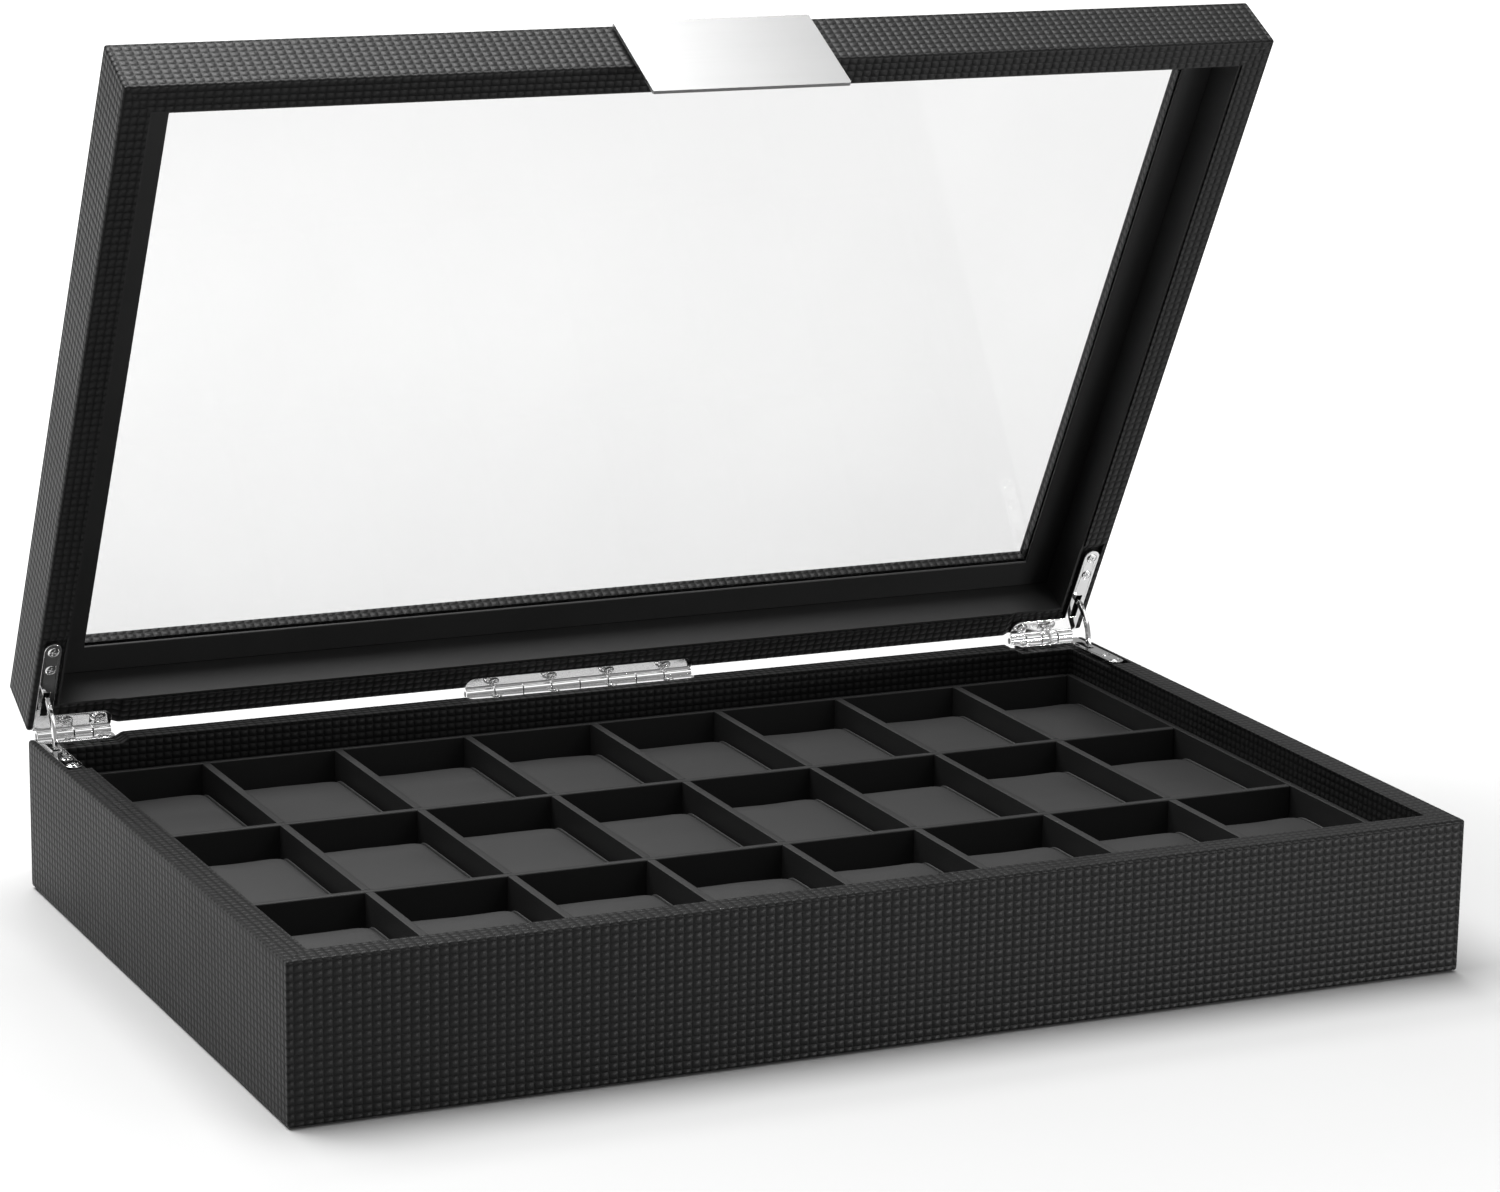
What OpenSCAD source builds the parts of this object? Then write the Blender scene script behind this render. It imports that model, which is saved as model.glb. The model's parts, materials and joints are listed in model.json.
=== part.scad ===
// Watch box: a shallow wrapped case whose tray holds one pillow per compartment,
// under a glazed lid on two corner hinges with stay arms and one centre hinge.
// Origin: middle of the case's bottom face. +X is to the right, +Y to the back, +Z up.
// The lid is drawn standing open by lid_open degrees.

/* [Case] */
// Width of the case, left to right
case_w = 500; // [480:10:540]
// Depth of the case, front to back, without the hinge barrels
case_d = 328; // [316:4:360]
// Height of the base, from the table to its rim
base_h = 64.5; // [60:0.5:72]
// Height of the lid, from its rim to its top
lid_h = 28.5; // [28:0.5:34]
// Thickness of the wall boards with their wrap
wall = 12; // [11.5:0.5:14]
// Radius of the wrapped outer edges
edge_r = 1.2; // [0.6:0.2:2]
// Gap between the two rims when the lid is shut
rim_gap = 0.5; // [0.4:0.1:1]
// Angle that the lid stands open by, from shut
lid_open = 62; // [0:1:97]

/* [Tray] */
// Compartments from front to back
rows = 3; // [2:1:3]
// Compartments from left to right
columns = 8; // [6:1:8]
// Drop from the base's rim to the top of the tray
tray_drop = 13.5; // [10:0.5:18]
// Thickness of the dividers
divider_t = 3.5; // [3:0.5:4]
// Thickness of the lining boards around the tray
surround_t = 3; // [2:0.5:4]
// Thickness of the floor board
floor_t = 4; // [3:0.5:5]
// Thickness of the felt under the case
felt_t = 0.8; // [0.6:0.2:1.2]

/* [Pillows] */
// Height of a pillow
pillow_h = 37; // [30:1:40]
// Radius of the turns of a pillow's wrap
pillow_r = 13; // [8:1:16]
// Space between a pillow and the boards beside it
pillow_gap = 1.4; // [1:0.2:3]

/* [Lid window] */
// Width of the lid's top frame, from the outside to the opening
window_margin = 26; // [24:1:32]
// Thickness of the lid's top frame
top_frame_t = 8; // [7.6:0.2:9]
// Thickness of the glass
glass_t = 2.6; // [2:0.2:3]
// How far the glass reaches under the top frame
glass_lap = 4.5; // [3:0.5:6]
// Thickness of the trim that holds the glass
trim_t = 1.2; // [1:0.1:1.6]
// Thickness of the lining inside the lid's walls
liner_t = 1; // [0.6:0.2:1.2]

/* [Front plate] */
// Width of the metal plate on the lid's front
plate_w = 86; // [60:2:110]
// Height of the metal plate
plate_h = 47.5; // [40:0.5:56]
// Thickness of the metal plate
plate_t = 1.5; // [1:0.1:2]
// Thickness of the mounting pad behind the plate
pad_t = 1; // [0.8:0.1:1.4]
// How far the plate is fixed to the right of the middle
plate_x = 1.5; // [-3:0.5:3]

/* [Hinges] */
// Radius of the hinge barrels
barrel_r = 2.5; // [2.2:0.1:2.6]
// Radius of the hinge pins
pin_r = 1.2; // [1:0.05:1.4]
// Thickness of the hinge leaves
leaf_t = 1.2; // [1:0.1:1.4]
// Depth of the recess that a leaf is let into
recess_h = 1.4; // [1.3:0.1:1.8]
// Width of a corner leaf's arm along the side wall
arm_w = 7.5; // [6.5:0.1:8]
// Mean radius of a stay arm about the hinge axis
stay_r = 21; // [20:0.5:22]
// Angle that the lid opens to, where the stay arms stop it
open_limit = 97.5; // [90:0.5:100]

/* [Hidden] */
$fn = 48;
eps = 0.01;

// Case
half_w = case_w / 2;
half_d = case_d / 2;
inner_w = case_w - 2 * wall;
inner_d = case_d - 2 * wall;
floor_top = felt_t + floor_t;
tray_top = base_h - tray_drop;
lid_z = base_h + rim_gap;
lid_wall_h = lid_h - top_frame_t;
felt_inset = 3;

// Tray grid
grid_w = inner_w - 2 * surround_t;
grid_d = inner_d - 2 * surround_t;
cell_w = (grid_w - (columns - 1) * divider_t) / columns;
cell_d = (grid_d - (rows - 1) * divider_t) / rows;
pitch_x = cell_w + divider_t;
pitch_y = cell_d + divider_t;
joint_z = (floor_top + tray_top) / 2;
joint_slack = 0.05;
strip_gap = 0.05;
pillow_lift = 0.3;
long_names = ["long_divider_front", "long_divider_rear"];

// Lid window
window_w = case_w - 2 * window_margin;
window_d = case_d - 2 * window_margin;
trim_lip = 1;
glass_slack = 0.3;
glass_play = 0.1;
liner_drop = 1;
plate_top_inset = 1;
plate_corner_r = 1;
pad_border = 3;

// Hinge axis, and the levels of a base leaf measured from it
axis_y = half_d + 3;
axis_z = base_h + rim_gap / 2;
leaf_low = -rim_gap / 2 - recess_h;
leaf_high = leaf_low + leaf_t;
bore_play = 0.05;
knuckle_gap = 0.5;
tongue_from = -3.1;
tongue_to = -1.2;
leaf_back = half_d + 0.2;

// Corner hinge, measured from the case's left face and from its back face
arm_in = 2.6;
arm_reach = 47.5;
back_arm_w = 7.4;
back_arm_r = 4.5;
corner_barrel_from = 4;
corner_knuckles = 4;
corner_knuckle_l = 8.15;
corner_barrel_l = corner_knuckles * corner_knuckle_l;
corner_screw_x = [17, 31.5];
arm_screw_y = [33.5, 43.3];
back_screw_in = 4.1;
recess_play = 0.3;
recess_slope = 4;

// Centre hinge
centre_knuckles = 8;
centre_knuckle_l = 13.4;
centre_barrel_l = centre_knuckles * centre_knuckle_l;
centre_leaf_w = 5.2;
centre_leaf_r = 4;
centre_screw_in = 2.6;
centre_screw_pitch = 27.2;
centre_screws = 4;

// Stay arms
stay_x = arm_in + arm_w / 2;
stay_t = 1.6;
stay_w = 2.8;
stay_engage = 5.25;
stay_span = open_limit + 2 * stay_engage;
pocket_t = 2.5;
pocket_w = 4.2;
pocket_span = stay_span / 2 + 4;
slot_w = 3;
slot_from = 8;
slot_to = 21;

// Screws
screw_r = 1.2;
screw_head_r = 2.2;
screw_sink = 0.6;
screw_dome = 0.3;
screw_l = 9;
screw_hole_r = 1.35;
head_play = 0.2;
pilot_play = 0.02;
cross_w = 0.6;
cross_l = 2.8;
cross_h = 0.6;

// Colours
weave = [0.16, 0.16, 0.17];
smooth = [0.22, 0.22, 0.23];
cushion = [0.27, 0.27, 0.28];
chrome = [0.85, 0.85, 0.87];
brushed = [0.8, 0.8, 0.81];
felt = [0.1, 0.1, 0.1];
clear_glass = [0.85, 0.92, 0.92, 0.3];

// ---- Shapes used by several parts ----

// A box between two corners
module block(low, high) {
    translate(low) cube(high - low);
}

// A rectangle with rounded corners, centred
module round_rect(w, h, r) {
    square([w - 2 * r, h], center = true);
    square([w, h - 2 * r], center = true);
    for (x = [-1, 1], y = [-1, 1])
        translate([x * (w / 2 - r), y * (h / 2 - r)]) circle(r);
}

// A closed box, rounded along all its outer edges, from z = low to z = high
module wrapped_block(low, high) {
    h = high - low;
    translate([0, 0, (low + high) / 2]) intersection() {
        linear_extrude(h, center = true) round_rect(case_w, case_d, edge_r);
        rotate([90, 0, 0]) linear_extrude(case_d, center = true) round_rect(case_w, h, edge_r);
        rotate([90, 0, 90]) linear_extrude(case_w, center = true) round_rect(case_d, h, edge_r);
    }
}

// A cylinder along X
module rod(r, from, to) {
    translate([from, 0, 0]) rotate([0, 90, 0]) cylinder(r = r, h = to - from);
}

// Part of a flat ring about the hinge axis, between two angles up from the front
module ring_part(r, radial, thick, from, to) {
    rotate([-from, 0, 0]) rotate([90, 0, -90]) rotate_extrude(angle = to - from, $fn = 96)
        translate([r - radial / 2, -thick / 2]) square([radial, thick]);
}

// Moves a shape drawn about the hinge axis to the axis
module at_axis() {
    translate([0, axis_y, axis_z]) children();
}

// Turns a shape of the shut lid about the hinge axis, to where the lid stands
module opened() {
    at_axis() rotate([-lid_open, 0, 0]) translate([0, -axis_y, -axis_z]) children();
}

// Turns a shape of the base's hinge fittings over, to the same fitting of the shut lid
module flipped() {
    at_axis() mirror([0, 0, 1]) translate([0, -axis_y, -axis_z]) children();
}

// The same shape on the left and on the right
module both_sides() {
    children();
    mirror([1, 0, 0]) children();
}

// ---- Hinge recesses, pockets and pilot holes, all drawn for the base ----

// Recess for a corner leaf, open towards the inside of the case, with sloping ends
module corner_recess() {
    low = axis_z + leaf_low;
    high = base_h + 1;
    run = recess_slope * (high - low) / recess_h;
    left = -half_w + arm_in - recess_play;
    end_x = -half_w + corner_barrel_from + corner_barrel_l + recess_play;
    end_y = half_d - arm_reach - recess_play;
    block([left, end_y, low], [-half_w + wall + 1, half_d + 1, high]);
    block([left, half_d - wall - 1, low], [end_x, half_d + 1, high]);
    translate([left, 0, 0]) rotate([90, 0, 90]) linear_extrude(wall + 1 - arm_in + recess_play)
        polygon([[end_y + eps, low], [end_y + eps, high], [end_y - run, high]]);
    translate([0, half_d + 1, 0]) rotate([90, 0, 0]) linear_extrude(wall + 2)
        polygon([[end_x - eps, low], [end_x - eps, high], [end_x + run, high]]);
}

// Recess for the centre hinge, which leaves the inner part of the rim whole
module centre_recess() {
    low = axis_z + leaf_low;
    translate([0, 0, low]) linear_extrude(base_h + 1 - low) centre_outline(recess_play, half_d + 1);
}

// Curved pocket that a stay arm slides into
module stay_pocket() {
    at_axis() translate([-half_w + stay_x, 0, 0])
        ring_part(stay_r, pocket_w, pocket_t, -pocket_span, 0);
}

// Front half of a disc
module front_half_disc(r) {
    intersection() {
        circle(r);
        translate([-r, -r]) square([2 * r, r]);
    }
}

// Outline of the centre leaf up to y = back, wider by grow, rounded at its two inner corners
module centre_outline(grow, back) {
    half = centre_barrel_l / 2 + grow;
    front = half_d - centre_leaf_w - grow;
    r = centre_leaf_r + grow;
    translate([-half, front + r]) square([2 * half, back - front - r]);
    translate([-half + r, front]) square([2 * (half - r), back - front]);
    for (x = [-half + r, half - r])
        translate([x, front + r]) front_half_disc(r);
}

// Outline of the left corner leaf: an arm along the side wall and one along the back wall
module corner_outline() {
    left = -half_w + arm_in;
    tip = half_d - arm_reach + arm_w / 2;
    end = -half_w + corner_barrel_from + corner_barrel_l;
    front = half_d - back_arm_w;
    translate([left, tip]) square([arm_w, leaf_back - tip]);
    translate([left + arm_w / 2, tip]) circle(arm_w / 2);
    translate([left, front]) square([end - back_arm_r - left, leaf_back - front]);
    translate([left, front + back_arm_r]) square([end - left, leaf_back - front - back_arm_r]);
    translate([end - back_arm_r, front + back_arm_r]) front_half_disc(back_arm_r);
}

// Places of the screws of the left corner leaf
module at_corner_screws() {
    for (x = corner_screw_x)
        translate([-half_w + x, half_d - back_screw_in, axis_z + leaf_high]) children();
    for (y = arm_screw_y)
        translate([-half_w + stay_x, half_d - y, axis_z + leaf_high]) children();
}

// Places of the screws of the centre leaf
module at_centre_screws() {
    for (i = [0:centre_screws - 1])
        translate([(i - (centre_screws - 1) / 2) * centre_screw_pitch, half_d - centre_screw_in, axis_z + leaf_high])
            children();
}

// A hole straight down from a leaf's face
module hole(r, depth) {
    translate([0, 0, -depth]) cylinder(r = r, h = depth + 1);
}

// The stepped hole for a screw in a leaf
module screw_seat() {
    hole(screw_hole_r, leaf_t + 1);
    hole(screw_head_r + head_play, screw_sink);
}

// All that is cut from the base's boards for the hinges
module hinge_cuts() {
    both_sides() {
        corner_recess();
        stay_pocket();
        at_corner_screws() hole(screw_r + pilot_play, screw_l + 0.3);
    }
    centre_recess();
    at_centre_screws() hole(screw_r + pilot_play, screw_l + 0.3);
}

// ---- Base ----

// One board of the base, between two corners
module base_board(low, high) {
    color(weave) difference() {
        intersection() {
            wrapped_block(felt_t, base_h);
            block(low, high);
        }
        hinge_cuts();
    }
}

module base_front() {
    base_board([-half_w + wall, -half_d, felt_t], [half_w - wall, -half_d + wall, base_h]);
}

module base_back() {
    base_board([-half_w + wall, half_d - wall, felt_t], [half_w - wall, half_d, base_h]);
}

module base_left() {
    base_board([-half_w, -half_d, felt_t], [-half_w + wall, half_d, base_h]);
}

module base_right() {
    base_board([half_w - wall, -half_d, felt_t], [half_w, half_d, base_h]);
}

module base_floor() {
    color(smooth) block([-inner_w / 2, -inner_d / 2, felt_t], [inner_w / 2, inner_d / 2, floor_top]);
}

module bottom_felt() {
    color(felt) linear_extrude(felt_t)
        round_rect(case_w - 2 * felt_inset, case_d - 2 * felt_inset, felt_inset);
}

// Lining boards around the tray: the side ones run the full depth, the others fit between them
module tray_surround() {
    color(smooth) {
        both_sides()
            block([-inner_w / 2, -inner_d / 2, floor_top], [-inner_w / 2 + surround_t, inner_d / 2, tray_top]);
        for (y = [-inner_d / 2, inner_d / 2 - surround_t])
            block([-grid_w / 2 + strip_gap, y, floor_top], [grid_w / 2 - strip_gap, y + surround_t, tray_top]);
    }
}

// Middle of cross divider c, counted from the left
function cross_x(c) = -grid_w / 2 + c * pitch_x - divider_t / 2;

// Middle of long divider r, counted from the front
function long_y(r) = -grid_d / 2 + r * pitch_y - divider_t / 2;

// A divider that runs left to right, with slots in its lower half for the cross dividers
module long_divider(r) {
    slot = divider_t / 2 + joint_slack;
    color(smooth) translate([0, long_y(r), 0]) difference() {
        block([-grid_w / 2, -divider_t / 2, floor_top], [grid_w / 2, divider_t / 2, tray_top]);
        for (c = [1:columns - 1]) translate([cross_x(c), 0, 0])
            block([-slot, -divider_t, floor_top - 1], [slot, divider_t, joint_z + joint_slack]);
    }
}

// A divider that runs front to back, with slots in its upper half for the long dividers
module cross_divider(c) {
    slot = divider_t / 2 + joint_slack;
    color(smooth) translate([cross_x(c), 0, 0]) difference() {
        block([-divider_t / 2, -grid_d / 2, floor_top], [divider_t / 2, grid_d / 2, tray_top]);
        for (r = [1:rows - 1]) translate([0, long_y(r), 0])
            block([-divider_t, -slot, joint_z - joint_slack], [divider_t, slot, tray_top + 1]);
    }
}

// The pillow in row r from the front and column c from the left: a wrap around X, flat at both ends
module pillow(r, c) {
    x = -grid_w / 2 + (c - 1) * pitch_x + cell_w / 2;
    y = -grid_d / 2 + (r - 1) * pitch_y + cell_d / 2;
    z = floor_top + pillow_lift + pillow_h / 2;
    color(cushion) translate([x, y, z]) rotate([90, 0, 90])
        linear_extrude(cell_w - 2 * pillow_gap, center = true)
            round_rect(cell_d - 2 * pillow_gap, pillow_h, pillow_r);
}

// ---- Lid, drawn shut and turned open ----

// One board of the lid, between two corners of the shut lid
module lid_board(low, high) {
    color(weave) opened() difference() {
        intersection() {
            wrapped_block(lid_z, lid_z + lid_h);
            block(low, high);
        }
        flipped() hinge_cuts();
    }
}

module lid_front() {
    lid_board([-half_w + wall, -half_d, lid_z], [half_w - wall, -half_d + wall, lid_z + lid_wall_h]);
}

module lid_back() {
    lid_board([-half_w + wall, half_d - wall, lid_z], [half_w - wall, half_d, lid_z + lid_wall_h]);
}

module lid_left() {
    lid_board([-half_w, -half_d, lid_z], [-half_w + wall, half_d, lid_z + lid_wall_h]);
}

module lid_right() {
    lid_board([half_w - wall, -half_d, lid_z], [half_w, half_d, lid_z + lid_wall_h]);
}

// Top frame of the lid, with the window and a rebate for the glass under its edge
module lid_top_frame() {
    low = lid_z + lid_wall_h;
    rebate = [window_w / 2 + glass_lap, window_d / 2 + glass_lap];
    color(weave) opened() difference() {
        intersection() {
            wrapped_block(lid_z, lid_z + lid_h);
            block([-half_w, -half_d, low], [half_w, half_d, lid_z + lid_h]);
        }
        block([-window_w / 2, -window_d / 2, low - 1], [window_w / 2, window_d / 2, lid_z + lid_h + 1]);
        block([-rebate.x, -rebate.y, low - 1], [rebate.x, rebate.y, low + glass_t + 2 * glass_play]);
    }
}

module glass_pane() {
    low = lid_z + lid_wall_h + glass_play;
    reach = [window_w / 2 + glass_lap - glass_slack, window_d / 2 + glass_lap - glass_slack];
    color(clear_glass) opened() block([-reach.x, -reach.y, low], [reach.x, reach.y, low + glass_t]);
}

// Flat trim frame under the glass, just wider than the window
module glass_trim() {
    high = lid_z + lid_wall_h;
    outer = [inner_w / 2 - liner_t, inner_d / 2 - liner_t];
    inner = [window_w / 2 - trim_lip, window_d / 2 - trim_lip];
    color(smooth) opened() difference() {
        block([-outer.x, -outer.y, high - trim_t], [outer.x, outer.y, high]);
        block([-inner.x, -inner.y, high - trim_t - 1], [inner.x, inner.y, high + 1]);
    }
}

// Smooth lining boards inside the lid's walls
module lid_liner() {
    low = lid_z + liner_drop;
    high = lid_z + lid_wall_h - trim_t;
    side = inner_w / 2 - liner_t - strip_gap;
    color(smooth) opened() difference() {
        union() {
            both_sides() block([-inner_w / 2, -inner_d / 2, low], [-inner_w / 2 + liner_t, inner_d / 2, high]);
            for (y = [-inner_d / 2, inner_d / 2 - liner_t])
                block([-side, y, low], [side, y + liner_t, high]);
        }
        flipped() hinge_cuts();
    }
}

// Top and bottom levels of the front plate on the shut lid
plate_high = lid_z + lid_h - plate_top_inset;
plate_low = plate_high - plate_h;

module front_plate() {
    color(brushed) opened() translate([plate_x, -half_d - pad_t, (plate_high + plate_low) / 2])
        rotate([90, 0, 0]) linear_extrude(plate_t) round_rect(plate_w, plate_h, plate_corner_r);
}

module plate_pad() {
    half = plate_w / 2 - pad_border;
    color(smooth) opened()
        block([plate_x - half, -half_d - pad_t, lid_z + pad_border],
              [plate_x + half, -half_d, plate_high - pad_border]);
}

// ---- Hinges ----

// Knuckles of one leaf with their tongues: every second one of count, starting at first
module knuckles(start, count, length, first) {
    at_axis() for (i = [first:2:count - 1]) {
        from = start + i * length + knuckle_gap / 2;
        to = start + (i + 1) * length - knuckle_gap / 2;
        rod(barrel_r, from, to);
        block([from, tongue_from, leaf_low], [to, tongue_to, leaf_high]);
    }
}

// Clears the pin's bore through a barrel
module pin_bore(start, length) {
    at_axis() rod(pin_r + bore_play, start - 1, start + length + 1);
}

// Slot in the side arm of the left corner leaf, for the stay arm
module stay_slot() {
    translate([-half_w + stay_x - slot_w / 2, half_d - slot_to, axis_z + leaf_low - 1])
        cube([slot_w, slot_to - slot_from, leaf_t + 2]);
}

// The left corner leaf of the base
module corner_leaf(first) {
    from = -half_w + corner_barrel_from;
    color(chrome) difference() {
        union() {
            translate([0, 0, axis_z + leaf_low]) linear_extrude(leaf_t) corner_outline();
            knuckles(from, corner_knuckles, corner_knuckle_l, first);
        }
        pin_bore(from, corner_barrel_l);
        stay_slot();
        at_corner_screws() screw_seat();
    }
}

// The centre leaf of the base
module centre_leaf(first) {
    half = centre_barrel_l / 2;
    color(chrome) difference() {
        union() {
            translate([0, 0, axis_z + leaf_low]) linear_extrude(leaf_t) centre_outline(0, leaf_back);
            knuckles(-half, centre_knuckles, centre_knuckle_l, first);
        }
        pin_bore(-half, centre_barrel_l);
        at_centre_screws() screw_seat();
    }
}

module left_base_leaf() {
    corner_leaf(0);
}

module right_base_leaf() {
    mirror([1, 0, 0]) corner_leaf(0);
}

module centre_base_leaf() {
    centre_leaf(0);
}

module left_lid_leaf() {
    opened() flipped() corner_leaf(1);
}

module right_lid_leaf() {
    opened() flipped() mirror([1, 0, 0]) corner_leaf(1);
}

module centre_lid_leaf() {
    opened() flipped() centre_leaf(1);
}

// One pin through each barrel
module hinge_pins() {
    inset = 0.2;
    half = centre_barrel_l / 2;
    from = -half_w + corner_barrel_from;
    color(chrome) at_axis() {
        both_sides() rod(pin_r, from + inset, from + corner_barrel_l - inset);
        rod(pin_r, -half + inset, half - inset);
    }
}

// Curved arms that slide through both corner leaves, half as far as the lid turns
module stay_arms() {
    middle = lid_open / 2;
    color(chrome) at_axis() both_sides() translate([-half_w + stay_x, 0, 0])
        ring_part(stay_r, stay_w, stay_t, middle - stay_span / 2, middle + stay_span / 2);
}

// A small cross-head screw, with its head let into a leaf's face
module screw() {
    difference() {
        union() {
            translate([0, 0, -screw_l]) cylinder(r = screw_r, h = screw_l - eps);
            translate([0, 0, -screw_sink]) cylinder(r = screw_head_r, h = screw_sink);
            cylinder(r1 = screw_head_r, r2 = screw_head_r - 2 * screw_dome, h = screw_dome);
        }
        for (turn = [20, 110]) rotate([0, 0, turn])
            translate([-cross_l / 2, -cross_w / 2, screw_dome - cross_h]) cube([cross_l, cross_w, 1]);
    }
}

module base_hinge_screws() {
    color(chrome) {
        both_sides() at_corner_screws() screw();
        at_centre_screws() screw();
    }
}

module lid_hinge_screws() {
    opened() flipped() base_hinge_screws();
}

base_front();
base_back();
base_left();
base_right();
base_floor();
bottom_felt();
tray_surround();
for (r = [1:rows - 1])
    long_divider(r);
for (c = [1:columns - 1])
    cross_divider(c);
for (r = [1:rows], c = [1:columns])
    pillow(r, c);
lid_front();
lid_back();
lid_left();
lid_right();
lid_top_frame();
lid_liner();
glass_pane();
glass_trim();
front_plate();
plate_pad();
left_base_leaf();
right_base_leaf();
centre_base_leaf();
left_lid_leaf();
right_lid_leaf();
centre_lid_leaf();
hinge_pins();
stay_arms();
base_hinge_screws();
lid_hinge_screws();
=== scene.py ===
"""Looks of the watch box: wraps, tray, stuffed pillows, hinges, glass and plate, on the CAD frame."""

import json
import math
import random

import bmesh
import bpy
from mathutils import Matrix, Vector, noise


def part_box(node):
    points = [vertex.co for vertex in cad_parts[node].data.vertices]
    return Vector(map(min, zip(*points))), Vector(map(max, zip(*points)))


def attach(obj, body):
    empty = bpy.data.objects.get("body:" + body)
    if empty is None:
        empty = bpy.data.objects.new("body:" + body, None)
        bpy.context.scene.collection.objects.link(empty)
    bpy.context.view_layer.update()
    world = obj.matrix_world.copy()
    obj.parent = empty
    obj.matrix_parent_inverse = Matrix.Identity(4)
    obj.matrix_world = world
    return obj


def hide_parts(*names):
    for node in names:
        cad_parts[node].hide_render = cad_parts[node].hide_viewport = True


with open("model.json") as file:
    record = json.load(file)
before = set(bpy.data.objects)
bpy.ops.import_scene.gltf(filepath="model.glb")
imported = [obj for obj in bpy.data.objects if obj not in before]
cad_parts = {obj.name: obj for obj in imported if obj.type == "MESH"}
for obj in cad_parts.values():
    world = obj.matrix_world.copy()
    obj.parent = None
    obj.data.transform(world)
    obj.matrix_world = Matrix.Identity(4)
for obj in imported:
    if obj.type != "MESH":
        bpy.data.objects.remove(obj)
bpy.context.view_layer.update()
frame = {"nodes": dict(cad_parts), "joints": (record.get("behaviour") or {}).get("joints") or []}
nodes = frame["nodes"]
MM = 0.001

# ---- Places and sizes, read from the frame ----

base_left_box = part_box("base_left")
HALF_W = -base_left_box[0].x
HALF_D = -base_left_box[0].y
WALL = base_left_box[1].x - base_left_box[0].x
BASE_LOW = base_left_box[0].z
RIM_Z = base_left_box[1].z
hinge = next(j for j in frame["joints"] if j["name"] == "lid_hinge")
AXIS = Vector(hinge["pos_m"])
LID_OPEN = -math.radians(hinge["range_deg"][0])
# Takes a point of the shut lid to where it is when the lid stands open at rest
OPEN_LID = Matrix.Translation(AXIS) @ Matrix.Rotation(-LID_OPEN, 4, "X") @ Matrix.Translation(-AXIS)
LID_Z = 2 * AXIS.z - RIM_Z


def shut_box(node):
    """(lowest corner, highest corner) of a lid node, with the lid shut."""
    back = OPEN_LID.inverted()
    points = [back @ v.co for v in nodes[node].data.vertices]
    low = Vector([min(p[i] for p in points) for i in range(3)])
    high = Vector([max(p[i] for p in points) for i in range(3)])
    return low, high


top_frame_box = shut_box("lid_top_frame")
LID_TOP = top_frame_box[1].z
FRAME_LOW = top_frame_box[0].z
glass_box = shut_box("glass_pane")


# ---- Materials ----


class Shader:
    """A node material with one Principled shader, and short ways to add the nodes that drive it."""

    def __init__(self, name, **values):
        self.material = bpy.data.materials.new(name)
        self.material.use_nodes = True
        self.tree = self.material.node_tree
        self.bsdf = self.tree.nodes["Principled BSDF"]
        for key, value in values.items():
            self.bsdf.inputs[key.replace("_", " ").title().replace("Ior", "IOR")].default_value = value

    def put(self, socket, value):
        """Links or sets an input."""
        if isinstance(value, bpy.types.NodeSocket):
            self.tree.links.new(value, socket)
        elif value is not None:
            socket.default_value = value

    def node(self, kind, inputs=(), **settings):
        """Adds a node, with its settings and its inputs by name or number."""
        made = self.tree.nodes.new("ShaderNode" + kind)
        for key, value in settings.items():
            setattr(made, key, value)
        for key, value in dict(inputs).items():
            self.put(made.inputs[key], value)
        return made

    def math(self, operation, *values, clamp=False):
        made = self.node("Math", dict(enumerate(values)), operation=operation, use_clamp=clamp)
        return made.outputs[0]

    def mix(self, factor, a, b):
        return self.node("Mix", {0: factor, 2: a, 3: b}, data_type="FLOAT").outputs[0]

    def ramp(self, factor, dark, light):
        """A colour between two greys, by factor."""
        made = self.node("Mix", {0: factor, 6: grey(dark), 7: grey(light)}, data_type="RGBA")
        return made.outputs[2]

    def noise(self, vector, scale, detail=3.0, roughness=0.5):
        values = {"Vector": vector, "Scale": scale, "Detail": detail, "Roughness": roughness}
        return self.node("TexNoise", values).outputs[0]

    def stretched(self, vector, x, y, z):
        """The vector with each part multiplied."""
        return self.node("Mapping", {"Vector": vector, "Scale": (x, y, z)}).outputs[0]

    def bump(self, height, distance, strength=1.0, normal=None):
        values = {"Height": height, "Distance": distance, "Strength": strength, "Normal": normal}
        return self.node("Bump", values).outputs[0]

    def finish(self, color=None, roughness=None, normal=None):
        self.put(self.bsdf.inputs["Base Color"], color)
        self.put(self.bsdf.inputs["Roughness"], roughness)
        self.put(self.bsdf.inputs["Normal"], normal)
        return self.material


def grey(value):
    """A grey colour, from 0 for black to 1 for white."""
    return (value, value, value, 1.0)


# Spacing of the embossed threads, along a board and across it
THREAD_U = 3.75 * MM
THREAD_V = 3.15 * MM
# Shape of a thread where it lies over another: flat along its run, round across it
THREAD_FLAT = 0.85
THREAD_ROUND = 1.2
# Half the width of the mitre seam where two boards meet in a rim
MITRE_HALF = 0.18 * MM
# A face looks along an axis when that part of its normal is above this
MOSTLY = 0.7


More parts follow.
